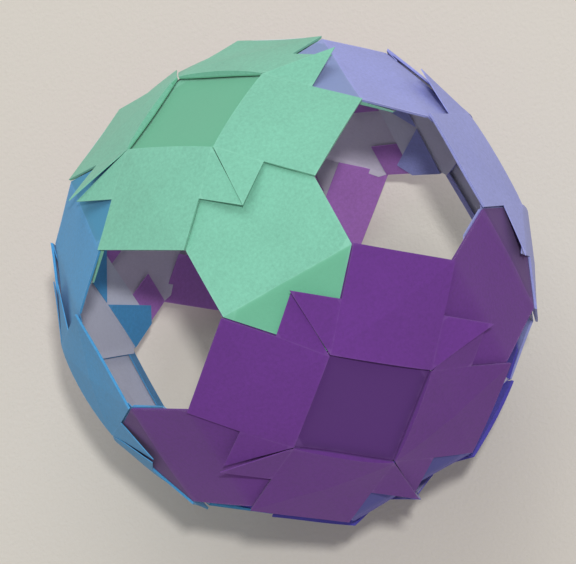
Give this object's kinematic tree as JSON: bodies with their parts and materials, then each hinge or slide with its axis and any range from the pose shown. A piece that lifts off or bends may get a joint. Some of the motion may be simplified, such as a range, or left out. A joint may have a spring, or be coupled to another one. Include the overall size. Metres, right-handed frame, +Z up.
{
  "type": "kusudama paper ball",
  "caption": "Round ball folded from square coloured paper sheets, with raised square panels, sunken squares and open six-sided windows.",
  "frame": {"origin": "middle of the ball's underside, on the surface that it rests on", "axes": "+Z up, out of the bridge between the mint and the violet sheet; +X out of the lavender sheet's sunken square; +Y completes the right-handed frame"},
  "size_m": [0.1106, 0.12, 0.1169],
  "materials": {
    "mint_paper": "matt folded paper with a fine fibre",
    "violet_paper": "matt folded paper with a fine fibre",
    "lavender_paper": "matt folded paper with a fine fibre",
    "sky_paper": "matt folded paper with a fine fibre",
    "indigo_paper": "matt folded paper with a fine fibre",
    "orchid_paper": "matt folded paper with a fine fibre"
  },
  "bodies": {
    "root": {"mint_sheet": "mint_paper", "violet_sheet": "violet_paper", "lavender_sheet": "lavender_paper", "sky_sheet": "sky_paper", "indigo_sheet": "indigo_paper", "orchid_sheet": "orchid_paper"}
  },
  "joints": []
}
